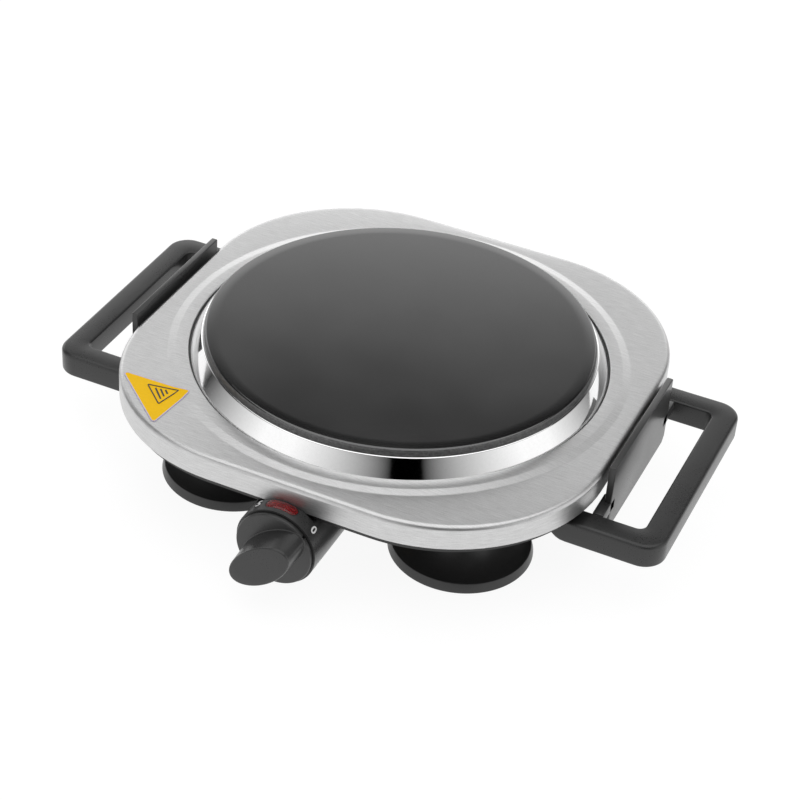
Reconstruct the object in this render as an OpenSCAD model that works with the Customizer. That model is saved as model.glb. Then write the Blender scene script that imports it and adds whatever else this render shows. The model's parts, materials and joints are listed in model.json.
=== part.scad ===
// Single hot plate burner: a cast-iron plate on a brushed steel body, with a plastic
// loop handle and heat shield at each side, four rubber cup feet and a round control
// housing with a turning knob under the front edge.
// Frame: origin on the table under the plate's centre, +Z up, the knob faces -Y.

/* [Hot plate] */
// Diameter of the cast-iron plate
plate_d = 188; // [186:0.5:189]
// Height of the cooking face above the body's top
plate_rise = 11.7; // [11:0.1:12.5]
// Depth of the plate's rim
plate_depth = 13; // [12.5:0.1:13.2]

/* [Body] */
// Width of the steel body, side to side
body_w = 240; // [239:0.5:241]
// Depth of the steel body, front to back
body_d = 238; // [237:0.5:239]
// Plan radius of the body's corners
body_corner_r = 80; // [78:1:82]
// Height of the body's top face above the table
body_top = 57.3; // [57:0.1:58]
// Height of the steel skirt
skirt_h = 12.3; // [10:0.1:13]
// Thickness of the body's sheet steel
sheet_t = 0.8; // [0.6:0.1:0.9]
// Height of the base pan's underside above the table
pan_z = 41.5; // [41:0.1:42]

/* [Handles] */
// Distance from the middle of the body to the outer face of a handle
handle_reach = 157; // [154:1:165]
// Length of a handle, front to back
handle_len = 124; // [120:1:130]
// Width of the handle's bars
bar_w = 12; // [11:0.5:13]
// Height of the handle's bars
bar_h = 12; // [10:0.5:13]
// Height of a heat shield's top edge above the table
shield_top = 60; // [58:0.5:64]

/* [Feet] */
// Radius of a rubber foot at the table
foot_r = 34.4; // [30:0.2:36]
// Distance of the feet from the middle, side to side
foot_x = 60.5; // [58:0.5:64]
// Distance of the feet from the middle, front to back
foot_y = 55; // [52:0.5:58]

/* [Control] */
// Height of the knob's axis above the table
knob_z = 28.5; // [28.2:0.1:28.6]
// Outer radius of the control housing
pod_r = 19.6; // [19.6:0.1:20.2]
// Radius of the knob's dial
dial_r = 18.6; // [18.4:0.1:19.2]
// Length of the knob's oval grip
grip_len = 35; // [32:0.5:35]
// Width of the knob's oval grip
grip_w = 18.2; // [17.5:0.1:20]
// Distance the grip stands out of the dial
grip_h = 13.8; // [11:0.1:15]
// Clockwise angle of the off mark from the top of the housing
off_angle = 50; // [45:1:52]

/* [Hidden] */
$fn = 72;

cut = 0.5;                      // how far a cutter runs past a face
slip = 0.05;                    // running and sliding clearance on a radius
elbow = 1.15;                   // a bend's ball against its tube's radius
plate_r = plate_d / 2;
plate_top = body_top + plate_rise;
plate_low = plate_top - plate_depth;
plate_shoulder = plate_top - 3.2;
plate_web = plate_top - 6;      // underside of the plate's web
step_in = 1.2;                  // depth of the shoulder in the plate's side
rim_in = plate_r - 6;
element_r = 2.6;
element_rings = [34, 52, 70];
element_w = 8;                  // half the gap between a ring's two ends
stud_r = 3;
boss_r = 9;
bed_low = plate_low + 0.5;
cover_t = 0.6;
opening_r = plate_r + 7.5;      // lip of the hole in the body's top
ledge_in = plate_r + 2.5;
ledge_z = body_top - 2.1;       // ledge that the trim ring stands on
ledge_low = ledge_z - sheet_t;
gasket_t = 0.5;
ring_base = ledge_z + gasket_t;
ring_r = opening_r - 0.3;
ring_t = 0.7;
collar_r = 110;                 // where the raised collar round the hole starts
collar_h = 0.9;
edge_r = 2.5;                   // rounding of the body's top edge
top_under = body_top - sheet_t;
half_w = body_w / 2;
half_d = body_d / 2;
skirt_z = body_top - skirt_h;
pan_in = pan_z + sheet_t;
pan_w = half_w - 2.5;
pan_d = half_d - 2.5;
pan_corner_r = body_corner_r - 2;
pan_wall_top = top_under - 2.5;
post_x = 84;
post_r = 4;
bridge_top = ledge_low - 4.4;
bridge_t = 1.5;
bridge_x = 106;
bridge_foot = 6;
bridge_w = 20;
reflector_t = 0.6;
reflector_r = 92;
bar_top = pan_z - 1.3;
bar_low = bar_top - bar_h;
flange_in = 98;
flange_out = 112;
arm_end = 104;
handle_half = handle_len / 2;
handle_screw_y = 35;
handle_screw_x = 105;
shield_in = half_w + 1.8;
shield_t = 3.2;
shield_low = 23.5;
shield_half = 40;
tab_h = 6;
peg_r = 2;
peg_len = 4;
foot_rim_h = 5;
stem_r = 16;
foot_positions = [[-1, -1], [1, -1], [-1, 1], [1, 1]];
screw_r = 1.7;
head_r = 3;
pod_wall = 1.5;
pod_in = pod_r - pod_wall;
pod_front = -127.5;
pod_back = -70;
pod_step = -(half_d + 0.2);     // the housing rises past the skirt in front of this
ear_x = 25;
ear_in = 14;                    // where an ear starts inside the housing's wall
ear_t = 3;
ear_y = [-101, -79];
ear_len = 10;
lens_y = -122.3;
lens_half_len = 7.7;
lens_half_w = 2.7;
dial_back = pod_front - 0.5;
dial_t = 2.3;
dial_front = dial_back - dial_t;
grip_front = dial_front - grip_h;
grip_angle = 90 - off_angle;
grip_flare = 2;                 // how much longer the grip is at its base
recess_r = 7.2;
recess_y = dial_front - 2.2;
shaft_r = 3;
shaft_front = grip_front + 3;
shaft_back = -121.9;
bush_r = 3.95;
frame_y = -124.5;
frame_t = 1.2;
frame_half = 9;
guide_y = -120.8;
stack_low = knob_z - 15;
stack_top = knob_z - 8.6;
stack_z = (stack_low + stack_top) / 2;
blade_top = knob_z + 8.4;
contact_z = knob_z + 5.9;
fixed_y = -118.3;
arm_y = -114.2;
arm_t = 0.4;
bimetal_y = -110;
pin_r = 1.5;
pin_back = arm_y - 0.4;
pin_front = guide_y - 0.1;
wire_r = 1.3;
gland_z = knob_z - 4;           // height of the cord's entry
cover_screw_x = 15.5;
hinge_z = stack_top + 0.8;      // line that the contact arm swings about
knuckle_r = 0.5;
block_y = -91;                  // middle of the terminal block
block_half = 7;
pole_gap = 6;                   // distance between the block's poles
rise_y = -92;                   // where the wires pass up through the pan
loft_z = bridge_top - 3.8;      // height of the element's wires above the pan
pin_end = plate_web - 11.5;     // lower end of the element's cold pins
block_z = stack_low + 4;        // height of the terminal block's holes
cutout_y = -18;
cutout_z = bridge_top + reflector_t + 2.7;

// ---------- helpers ----------

// Rounded rectangle of half sizes x and y, as a flat shape
module rounded(x, y, r) {
    square([2 * x, 2 * (y - r)], center = true);
    square([2 * (x - r), 2 * y], center = true);
    for (sx = [-1, 1], sy = [-1, 1])
        translate([sx * (x - r), sy * (y - r)])
            circle(r, $fn = 144);
}

// Rounded rectangle slab between two heights
module slab(x, y, r, low, high) {
    translate([0, 0, low])
        linear_extrude(high - low)
            rounded(x, y, r);
}

// Disc between two heights
module disc(r, low, high) {
    translate([0, 0, low])
        cylinder(r = r, h = high - low);
}

// Round bar along Y between two distances
module bar_y(r, front, back) {
    translate([0, front, 0])
        rotate([-90, 0, 0])
            cylinder(r = r, h = back - front);
}

// Points of a path with each corner cut once
function eased(p) = concat(
    [p[0]],
    [for (i = [0 : len(p) - 2], f = [0.25, 0.75]) p[i] * (1 - f) + p[i + 1] * f],
    [p[len(p) - 1]]
);

// Thin wire along an eased path
module wire(points, r) {
    path = eased(points);
    for (i = [0 : len(path) - 2])
        hull()
            for (k = [0, 1])
                translate(path[i + k])
                    sphere(r, $fn = 10);
}

// Screw standing upright: its head below z, its shank above
module screw_up(x, y, z, shank, head_h) {
    translate([x, y, z]) {
        cylinder(r = screw_r, h = shank);
        difference() {
            translate([0, 0, -head_h])
                cylinder(r = head_r, h = head_h);
            for (a = [0, 90])
                rotate(a)
                    translate([-head_r * 0.6, -0.4, -head_h - cut])
                        cube([head_r * 1.2, 0.8, cut + head_h * 0.5]);
        }
    }
}

// ---------- plate and element ----------

module plate_section() {
    polygon([
        [0, plate_web], [0, plate_top], [plate_r - 1.2, plate_top],
        [plate_r, plate_top - 1.2], [plate_r, plate_shoulder],
        [plate_r - step_in, plate_shoulder], [plate_r - step_in, plate_low],
        [rim_in, plate_low], [rim_in, plate_web],
    ]);
}

module heating_plate() {
    groove_r = element_r + 0.3;
    color("#2e2e30")
    difference() {
        union() {
            rotate_extrude($fn = 144)
                plate_section();
            disc(boss_r, plate_web - 4, plate_web + cut);
        }
        disc(stud_r + slip, plate_web - 5, plate_web + 2.5);
        for (r = element_rings)
            translate([0, 0, plate_web])
                rotate_extrude($fn = 144)
                    translate([r, 0])
                        circle(groove_r, $fn = 32);
        translate([-element_w - 4, -element_rings[2] - 3, plate_web - cut])
            cube([2 * (element_w + 4), element_rings[2] - element_rings[0] + 9,
                  element_r * elbow + 0.3 + cut]);
    }
}

// Y of the end of an element ring
function ring_end(r) = -sqrt(r * r - element_w * element_w);

module heating_element() {
    color("#5d5a56")
    translate([0, 0, plate_web]) {
        for (r = element_rings) {
            gap = asin(element_w / r);
            rotate(-90 + gap)
                rotate_extrude(angle = 360 - 2 * gap, $fn = 144)
                    translate([r, 0])
                        circle(element_r, $fn = 32);
            for (s = [-1, 1])
                translate([s * element_w, ring_end(r), 0])
                    sphere(element_r * elbow, $fn = 32);
        }
        translate([-element_w, 0, 0])
            bar_y(element_r, ring_end(element_rings[1]), ring_end(element_rings[0]));
        translate([element_w, 0, 0])
            bar_y(element_r, ring_end(element_rings[2]), ring_end(element_rings[1]));
        for (p = pin_places())
            translate([p[0], p[1], pin_end - plate_web])
                cylinder(r = 1.5, h = plate_web - pin_end);
    }
}

// Where the element's two cold ends turn down
function pin_places() = [
    [element_w, ring_end(element_rings[0])],
    [-element_w, ring_end(element_rings[2])],
];

module element_insulators() {
    color("#efe9dc")
    for (p = pin_places())
        translate([p[0], p[1], 0])
            difference() {
                disc(3, plate_low - 1.5, plate_web - 3.3);
                disc(1.5 + slip, plate_low - 2, plate_web);
            }
}

module insulating_bed() {
    color("#d9d2c3")
    difference() {
        disc(rim_in - 0.5, bed_low, plate_web - 3.1);
        disc(boss_r + 0.5, plate_low, plate_web);
        for (p = pin_places())
            translate([p[0], p[1], 0])
                disc(3 + slip, plate_low, plate_web);
    }
}

module element_cover() {
    color("#a7a9ab")
    difference() {
        disc(rim_in - 0.3, bed_low - cover_t, bed_low);
        disc(stud_r + 0.2, plate_low - 2, plate_web);
        for (p = pin_places())
            translate([p[0], p[1], 0])
                disc(3 + slip, plate_low - 2, plate_web);
    }
}

module centre_stud() {
    color("#b9bbbd")
    disc(stud_r, pan_in + 0.6, plate_web + 2);
}

module stud_spacer() {
    color("#b9bbbd")
    difference() {
        disc(5, bridge_top + reflector_t, bed_low - cover_t);
        disc(stud_r + slip, bridge_top, bed_low);
    }
}

module clamp_bridge() {
    color("#8f9294")
    difference() {
        union() {
            translate([-bridge_x, -bridge_w / 2, bridge_top - bridge_t])
                cube([2 * bridge_x, bridge_w, bridge_t]);
            for (s = [-1, 1])
                translate([s * (bridge_x - bridge_foot / 2), 0, (bridge_top + ledge_low) / 2])
                    cube([bridge_foot, bridge_w, ledge_low - bridge_top], center = true);
        }
        disc(stud_r + 0.2, bridge_top - 3, bridge_top + 1);
    }
}

module clamp_washer() {
    color("#c4c6c8")
    difference() {
        disc(8, bridge_top - bridge_t - 0.8, bridge_top - bridge_t);
        disc(stud_r + 0.2, bridge_top - 5, bridge_top);
    }
}

module clamp_nut() {
    nut_top = bridge_top - bridge_t - 0.8;
    color("#c4c6c8")
    difference() {
        translate([0, 0, nut_top - 4])
            cylinder(r = 5.77, h = 4, $fn = 6);
        disc(stud_r + slip, nut_top - 5, nut_top + 1);
    }
}

module heat_reflector() {
    color("#cfd1d3")
    difference() {
        disc(reflector_r, bridge_top, bridge_top + reflector_t);
        disc(stud_r + 0.2, bridge_top - 1, bridge_top + 2);
        for (p = pin_places())
            translate([p[0], p[1], 0])
                disc(5, bridge_top - 1, bridge_top + 2);
    }
}

// ---------- trim ring and body ----------

module trim_ring() {
    lip_in = plate_r - step_in + 0.1;
    lip_out = plate_r + 1.2;
    color("#dfe2e4")
    rotate_extrude($fn = 144)
        polygon([
            [lip_in, plate_shoulder - ring_t], [lip_in, plate_shoulder],
            [lip_out, plate_shoulder], [ring_r, ring_base + 0.7],
            [ring_r, ring_base], [ring_r - 3.7, ring_base],
            [ring_r - 3.7, ring_base + ring_t], [ring_r - 0.9, ring_base + ring_t],
            [lip_out - 0.5, plate_shoulder - ring_t],
        ]);
}

module plate_gasket() {
    color("#8c8779")
    difference() {
        disc(ring_r, ledge_z, ring_base);
        disc(ring_r - 3.7, ledge_z - 1, ring_base + 1);
    }
}

// Quarter of the bent top edge, seen end on with the outer face towards +X
module edge_section() {
    intersection() {
        difference() {
            circle(edge_r);
            circle(edge_r - sheet_t);
        }
        square(edge_r + cut);
    }
}

module bent_edge() {
    for (sx = [0, 1], sy = [0, 1])
        mirror([sx, 0, 0])
            mirror([0, sy, 0])
                translate([half_w - body_corner_r, half_d - body_corner_r, body_top - edge_r])
                    rotate_extrude(angle = 90, $fn = 144)
                        translate([body_corner_r - edge_r, 0])
                            edge_section();
    for (a = [0 : 3]) {
        across = (a % 2 == 0) ? half_w : half_d;
        along = ((a % 2 == 0) ? half_d : half_w) - body_corner_r;
        rotate(90 * a)
            translate([across - edge_r, along, body_top - edge_r])
                rotate([90, 0, 0])
                    linear_extrude(2 * along)
                        edge_section();
    }
}

// Raised collar, its lip and the sunk ledge that carries the trim ring
module collar() {
    lip_out = opening_r + sheet_t;
    rotate_extrude($fn = 144)
        polygon([
            [collar_r, top_under], [collar_r, body_top],
            [lip_out + 0.5, body_top + collar_h], [opening_r, body_top + collar_h],
            [opening_r, ledge_z], [ledge_in, ledge_z], [ledge_in, ledge_low],
            [lip_out, ledge_low], [lip_out, body_top + collar_h - sheet_t],
        ]);
}

module top_housing() {
    color("#c8cacc")
    union() {
        difference() {
            slab(half_w, half_d, body_corner_r, skirt_z, body_top - edge_r);
            slab(half_w - sheet_t, half_d - sheet_t, body_corner_r - sheet_t,
                 skirt_z - cut, body_top);
        }
        bent_edge();
        difference() {
            slab(half_w - edge_r, half_d - edge_r, body_corner_r - edge_r, top_under, body_top);
            disc(collar_r, top_under - cut, body_top + cut);
        }
        collar();
    }
}

module housing_posts() {
    color("#9a9c9e")
    for (p = foot_positions)
        translate([p[0] * post_x, p[1] * post_x, 0])
            difference() {
                disc(post_r, pan_in, top_under);
                disc(screw_r + slip, pan_in - cut, pan_in + 8);
            }
}

// Blank warning triangle with its point over the collar's foot
module caution_sticker() {
    base = 17;
    tall = 21;
    corner = 2;
    film = 0.15;
    slope_end = opening_r + sheet_t + 0.5;
    color("#f2b90f")
    intersection() {
        rotate_extrude($fn = 144)
            polygon([
                [slope_end, body_top + collar_h], [collar_r, body_top],
                [collar_r + 40, body_top], [collar_r + 40, body_top + film],
                [collar_r, body_top + film], [slope_end, body_top + collar_h + film],
            ]);
        translate([-84, -88, body_top - 1])
            rotate(-45)
                linear_extrude(3)
                    hull() {
                        translate([0, tall * 2 / 3 - 1])
                            circle(corner, $fn = 24);
                        for (s = [-1, 1])
                            translate([s * base, -tall / 3 + 1])
                                circle(corner, $fn = 24);
                    }
    }
}

// ---------- base pan ----------

module vent_slots() {
    slot_r = 2;
    slot_half = 14;
    for (sx = [-1, 1], i = [0 : 6])
        translate([sx * 26, -24 + 9 * i, pan_z - cut]) {
            for (e = [-1, 1])
                translate([e * slot_half, 0, 0])
                    cylinder(r = slot_r, h = sheet_t + 2 * cut);
            translate([-slot_half, -slot_r, 0])
                cube([2 * slot_half, 2 * slot_r, sheet_t + 2 * cut]);
        }
}

module base_pan() {
    color("#1f1f20")
    difference() {
        slab(pan_w, pan_d, pan_corner_r, pan_z, pan_wall_top);
        slab(pan_w - sheet_t, pan_d - sheet_t, pan_corner_r - sheet_t,
             pan_in, pan_wall_top + cut);
        vent_slots();
        translate([0, rise_y, 0])
            disc(7.5, pan_z - cut, pan_in + cut);
        for (p = foot_positions) {
            translate([p[0] * foot_x, p[1] * foot_y, 0])
                disc(screw_r + slip, pan_z - cut, pan_in + cut);
            translate([p[0] * post_x, p[1] * post_x, 0])
                disc(screw_r + slip, pan_z - cut, pan_in + cut);
            translate([p[0] * handle_screw_x, p[1] * handle_screw_y, 0])
                disc(screw_r + slip, pan_z - cut, pan_in + cut);
        }
        for (sx = [-1, 1], y = ear_y)
            translate([sx * ear_x, y, 0])
                disc(screw_r + slip, pan_z - cut, pan_in + cut);
        translate([14, earth_y(), 0])
            disc(screw_r + slip, pan_z - cut, pan_in + cut);
    }
}

function earth_y() = rise_y + 34;

module base_screws() {
    color("#b9bbbd")
    for (p = foot_positions)
        screw_up(p[0] * post_x, p[1] * post_x, pan_z, 7, 2);
}

// ---------- handles and shields ----------

// Right-hand handle; the left one is its mirror image
module handle() {
    mid_x = (flange_in + handle_reach) / 2;
    half_x = (handle_reach - flange_in) / 2;
    gap_x = (handle_reach - bar_w - flange_out) / 2;
    corner = 11;
    heel = 8;
    difference() {
        union() {
            intersection() {
                translate([mid_x, 0, bar_low])
                    linear_extrude(bar_h)
                        rounded(half_x, handle_half, corner);
                translate([0, handle_half + cut, 0])
                    rotate([90, 0, 0])
                        linear_extrude(handle_len + 2 * cut)
                            arm_profile(heel);
            }
            translate([flange_in, -handle_half + 6, bar_top - 4])
                cube([flange_out - flange_in, handle_len - 12, 4]);
            for (s = [-1, 1])
                translate([handle_screw_x, s * handle_screw_y, 0])
                    disc(6, bar_top - 4, pan_z);
        }
        translate([flange_out + gap_x, 0, bar_low - cut])
            linear_extrude(bar_h + 2 * cut)
                rounded(gap_x, handle_half - bar_w, 4);
        translate([flange_in - cut, -handle_half + bar_w, bar_low - cut])
            cube([flange_out - flange_in + cut, handle_len - 2 * bar_w, bar_h - 4 + cut]);
        for (s = [-1, 1]) {
            translate([handle_screw_x, s * handle_screw_y, 0])
                disc(screw_r + slip, bar_low - cut, pan_z + cut);
            translate([peg_x(), s * (handle_half - bar_w), peg_z()])
                rotate([-90 * s, 0, 0])
                    translate([0, 0, -1])
                        cylinder(r = peg_r + slip, h = peg_len + 1.4);
        }
    }
}

// Side view of a handle's arm, with the rounded heel under the body
module arm_profile(heel) {
    translate([arm_end + heel, bar_low])
        square([handle_reach - arm_end - heel, bar_h]);
    translate([arm_end, bar_low + heel])
        square([heel + cut, bar_h - heel]);
    translate([arm_end + heel, bar_low + heel])
        circle(heel);
}

function peg_x() = shield_in + shield_t / 2;
function peg_z() = bar_top - tab_h / 2;

// Right-hand heat shield with its two fixing tabs
module shield() {
    tab_in = shield_in - 2;
    reach = handle_half - bar_w - 0.1;
    chamfer = 3;
    translate([shield_in + shield_t, 0, 0])
        rotate([90, 0, -90])
            linear_extrude(shield_t)
                polygon([
                    [-shield_half, shield_top], [shield_half, shield_top],
                    [shield_half, shield_low + chamfer], [shield_half - chamfer, shield_low],
                    [-shield_half + chamfer, shield_low], [-shield_half, shield_low + chamfer],
                ]);
    for (s = [-1, 1]) {
        translate([tab_in, (s > 0) ? shield_half - 6 : -reach, bar_top - tab_h])
            cube([shield_in + shield_t - tab_in, reach - shield_half + 6, tab_h]);
        translate([peg_x(), s * (reach - 0.5), peg_z()])
            rotate([-90 * s, 0, 0])
                cylinder(r = peg_r, h = peg_len + 0.5);
    }
}

module right_handle() {
    color("#3c3c3e")
    handle();
}

module left_handle() {
    color("#3c3c3e")
    mirror([1, 0, 0])
        handle();
}

module right_shield() {
    color("#38383a")
    shield();
}

module left_shield() {
    color("#38383a")
    mirror([1, 0, 0])
        shield();
}

module handle_screws() {
    color("#b9bbbd")
    for (p = foot_positions)
        screw_up(p[0] * handle_screw_x, p[1] * handle_screw_y, bar_top - 4, 8, 2);
}

// ---------- feet ----------

// Flared rubber cup foot, hollow under its rim
module foot(place) {
    flare_r = foot_r - 1.4 - stem_r;
    cup_h = 7;
    color("#232324")
    translate([place[0] * foot_x, place[1] * foot_y, 0])
        rotate_extrude($fn = 96)
            difference() {
                polygon([
                    [0, 0], [foot_r, 0], [foot_r - 1.4, foot_rim_h],
                    [foot_r - 1.4, foot_rim_h + flare_r], [stem_r, foot_rim_h + flare_r],
                    [stem_r, pan_z], [0, pan_z],
                ]);
                translate([foot_r - 1.4, foot_rim_h + flare_r])
                    circle(flare_r, $fn = 96);
                polygon([
                    [-1, -1], [foot_r - 3.6, -1], [foot_r - 4.4, 2.4],
                    [14, cup_h], [head_r + 2.5, cup_h], [head_r + 2.5, pan_z - 6],
                    [screw_r + slip, pan_z - 6], [screw_r + slip, pan_z + 1], [-1, pan_z + 1],
                ]);
            }
}

module foot_front_left() {
    foot(foot_positions[0]);
}

module foot_front_right() {
    foot(foot_positions[1]);
}

module foot_rear_left() {
    foot(foot_positions[2]);
}

module foot_rear_right() {
    foot(foot_positions[3]);
}

module foot_screws() {
    color("#b9bbbd")
    for (p = foot_positions)
        screw_up(p[0] * foot_x, p[1] * foot_y, pan_z - 6, 10.5, 2);
}

module foot_nuts() {
    color("#c4c6c8")
    for (p = foot_positions)
        translate([p[0] * foot_x, p[1] * foot_y, 0])
            difference() {
                translate([0, 0, pan_in])
                    cylinder(r = 4.04, h = 2.8, $fn = 6);
                disc(screw_r + slip, pan_in - 1, pan_in + 4);
            }
}

// ---------- control housing ----------

// Everything above the pan's underside behind the housing's step
module above_pan() {
    translate([-pod_r - 1, pod_step, pan_z])
        cube([2 * pod_r + 2, pod_back - pod_step + 10, 10]);
}

module lens_cutter(grow) {
    translate([0, lens_y, knob_z])
        linear_extrude(pod_r + 5)
            rounded(lens_half_len + grow, lens_half_w + grow, lens_half_w + grow - 0.01);
}

module control_housing() {
    boss_y = pod_back - 12;
    color("#333335")
    difference() {
        union() {
            translate([0, 0, knob_z])
                difference() {
                    bar_y(pod_r, pod_front, pod_back);
                    bar_y(pod_in, pod_front + pod_wall, pod_back + cut);
                }
            for (sx = [-1, 1]) {
                translate([sx * cover_screw_x, 0, knob_z])
                    bar_y(3, boss_y, pod_back);
                for (y = ear_y)
                    translate([(sx > 0) ? ear_in : -ear_x - 5, y - ear_len / 2, pan_z - ear_t])
                        cube([ear_x + 5 - ear_in, ear_len, ear_t]);
            }
        }
        above_pan();
        translate([0, 0, knob_z])
            bar_y(bush_r + slip, pod_front - cut, pod_front + pod_wall + cut);
        lens_cutter(0.1);
        for (sx = [-1, 1]) {
            translate([sx * cover_screw_x, 0, knob_z])
                bar_y(screw_r + slip, boss_y - cut, pod_back + cut);
            for (y = ear_y)
                translate([sx * ear_x, y, 0])
                    disc(screw_r + slip, pan_z - ear_t - cut, pan_z + cut);
        }
        translate([0, -114, knob_z])
            rotate([0, off_angle, 0])
                translate([-1.2, -1.2, pod_in - 1])
                    cube([2.4, 2.4, pod_wall + 2]);
    }
}

module housing_screws() {
    color("#b9bbbd")
    for (sx = [-1, 1], y = ear_y)
        screw_up(sx * ear_x, y, pan_z - ear_t, 7, 2);
}

module rear_cover() {
    color("#333335")
    difference() {
        translate([0, 0, knob_z])
            bar_y(pod_r, pod_back, pod_back + 2);
        above_pan();
        translate([0, 0, gland_z])
            bar_y(5.5 + slip, pod_back - cut, pod_back + 3);
        for (sx = [-1, 1])
            translate([sx * cover_screw_x, 0, knob_z])
                bar_y(screw_r + slip, pod_back - cut, pod_back + 3);
    }
}

module rear_cover_screws() {
    color("#b9bbbd")
    for (sx = [-1, 1])
        translate([sx * cover_screw_x, pod_back + 2, knob_z])
            rotate([90, 0, 0])
                screw_up(0, 0, 0, 11, 2);
}

module cord_gland() {
    color("#1b1b1c")
    translate([0, 0, gland_z])
        difference() {
            union() {
                bar_y(5.5, pod_back, pod_back + 2);
                bar_y(7.5, pod_back + 2, pod_back + 5);
                bar_y(7.5, pod_back - 2, pod_back);
                bar_y(5, pod_back + 5, pod_back + 14);
            }
            bar_y(3.4, pod_back - 3, pod_back + 15);
        }
}

// ---------- pilot light ----------

module pilot_lens() {
    color("#d0262b")
    intersection() {
        lens_cutter(0);
        translate([0, 0, knob_z])
            difference() {
                bar_y(pod_r + 0.3, lens_y - 10, lens_y + 10);
                bar_y(pod_in + 0.2, lens_y - 11, lens_y + 11);
            }
    }
}

module pilot_lamp() {
    lamp_z = knob_z + 13.6;
    color("#e9c9a8")
    translate([-6, lens_y, lamp_z])
        rotate([0, 90, 0]) {
            cylinder(r = 2.2, h = 11);
            translate([0, 0, 11])
                sphere(2.2);
        }
}

module lamp_holder() {
    floor_z = knob_z + 9.6;
    color("#e4e1d8")
    union() {
        translate([-7, lens_y - 2.6, floor_z])
            cube([15, 5.2, 1.6]);
        translate([-7, lens_y - 2.6, floor_z])
            cube([0.9, 5.2, 5.6]);
    }
}

module lamp_resistor() {
    color("#c8a06a")
    translate([5, 0, knob_z + 10.5])
        bar_y(1.1, -118, -111);
}

// ---------- knob and thermostat ----------

module grip_shape(grow) {
    resize([grip_len + grow, grip_w + grow * 0.4])
        circle(grip_len / 2, $fn = 60);
}

// Round dial with an oval grip that narrows towards its face
module knob() {
    taper = grip_len / (grip_len + grip_flare);
    notch_w = 1.6;
    color("#3a3a3c")
    translate([0, 0, knob_z])
        difference() {
            union() {
                bar_y(dial_r, dial_front + 0.8, dial_back);
                translate([0, dial_front + 0.8, 0])
                    rotate([90, 0, 0])
                        cylinder(r1 = dial_r, r2 = dial_r - 0.8, h = 0.8);
                translate([0, dial_front + 0.3, 0])
                    rotate([90, 0, 0])
                        rotate(grip_angle)
                            linear_extrude(grip_h + 0.3, scale = taper)
                                grip_shape(grip_flare);
            }
            bar_y(recess_r, recess_y, dial_back + cut);
            difference() {
                bar_y(shaft_r + slip, shaft_front - 0.4, dial_back + cut);
                translate([-shaft_r - 1, shaft_front - 1, 2.2 + slip])
                    cube([2 * shaft_r + 2, recess_y - shaft_front + 1, 2]);
            }
            rotate([0, off_angle, 0])
                translate([-notch_w / 2, dial_front - cut, dial_r - 1.6])
                    cube([notch_w, dial_t + 2 * cut, 3]);
        }
}

module thermostat_shaft() {
    color("#c9cbcd")
    translate([0, 0, knob_z])
        difference() {
            bar_y(shaft_r, shaft_front, shaft_back);
            translate([-shaft_r - 1, shaft_front - 1, 2.2])
                cube([2 * shaft_r + 2, recess_y - shaft_front + 1, 2]);
        }
}

module thermostat_bush() {
    color("#c9a24a")
    translate([0, 0, knob_z])
        difference() {
            union() {
                bar_y(bush_r, dial_front - 0.6, frame_y + frame_t);
                bar_y(6, pod_front + pod_wall, frame_y);
            }
            bar_y(shaft_r + slip, dial_front - 1, frame_y + 2);
        }
}

module bush_nut() {
    color("#c4c6c8")
    translate([0, pod_front, knob_z])
        rotate([90, 0, 0])
            difference() {
                cylinder(r = 6.35, h = 2, $fn = 6);
                translate([0, 0, -cut])
                    cylinder(r = bush_r + slip, h = 3);
            }
}

module thermostat_frame() {
    cheek_low = knob_z - 5.6;
    cheek_high = knob_z + 5.4;
    color("#a9abad")
    difference() {
        union() {
            translate([-frame_half, frame_y, stack_low])
                cube([2 * frame_half, frame_t, blade_top - stack_low - 0.5]);
            for (s = [-1, 1])
                translate([(s > 0) ? frame_half - frame_t : -frame_half, frame_y, cheek_low])
                    cube([frame_t, guide_y - frame_y + frame_t, cheek_high - cheek_low]);
            translate([-frame_half, guide_y, cheek_low])
                cube([2 * frame_half, frame_t, cheek_high - cheek_low]);
        }
        translate([0, 0, knob_z]) {
            bar_y(bush_r + slip, frame_y - cut, frame_y + frame_t + cut);
            bar_y(pin_r + slip, guide_y - cut, guide_y + frame_t + cut);
        }
        translate([0, 0, stack_z])
            bar_y(1.5 + slip, frame_y - cut, frame_y + frame_t + cut);
    }
}

// Block of the stack between two distances
module stack_block(front, back, half) {
    difference() {
        translate([-half, front, stack_low])
            cube([2 * half, back - front, stack_top - stack_low]);
        translate([0, 0, stack_z])
            bar_y(1.5 + slip, front - cut, back + cut);
    }
}

module stack_insulators() {
    color("#efe9dc") {
        stack_block(frame_y + frame_t, fixed_y, 6);
        stack_block(fixed_y + 0.6, arm_y, 6);
        stack_block(arm_y + arm_t, bimetal_y, 6);
    }
}

module fixed_contact() {
    color("#c08a4a")
    union() {
        difference() {
            translate([-4, fixed_y, stack_low])
                cube([8, 0.6, blade_top - stack_low]);
            translate([0, 0, knob_z])
                bar_y(2.4, fixed_y - cut, fixed_y + 2);
            translate([0, 0, stack_z])
                bar_y(1.5 + slip, fixed_y - cut, fixed_y + 2);
        }
        translate([0, 0, contact_z])
            bar_y(1.8, fixed_y + 0.6, fixed_y + 1.6);
    }
}

module contact_arm() {
    color("#c08a4a")
    union() {
        translate([-3, arm_y, hinge_z])
            cube([6, arm_t, blade_top - hinge_z]);
        translate([-3, arm_y + arm_t / 2, hinge_z])
            rotate([0, 90, 0])
                cylinder(r = knuckle_r, h = 6);
        translate([0, 0, contact_z])
            bar_y(1.8, arm_y - 1, arm_y);
    }
}

module arm_terminal() {
    color("#c08a4a")
    difference() {
        translate([-4, arm_y, stack_low - 1])
            cube([8, arm_t, stack_top - stack_low + 1]);
        translate([0, 0, stack_z])
            bar_y(1.5 + slip, arm_y - cut, arm_y + 1);
    }
}

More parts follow.
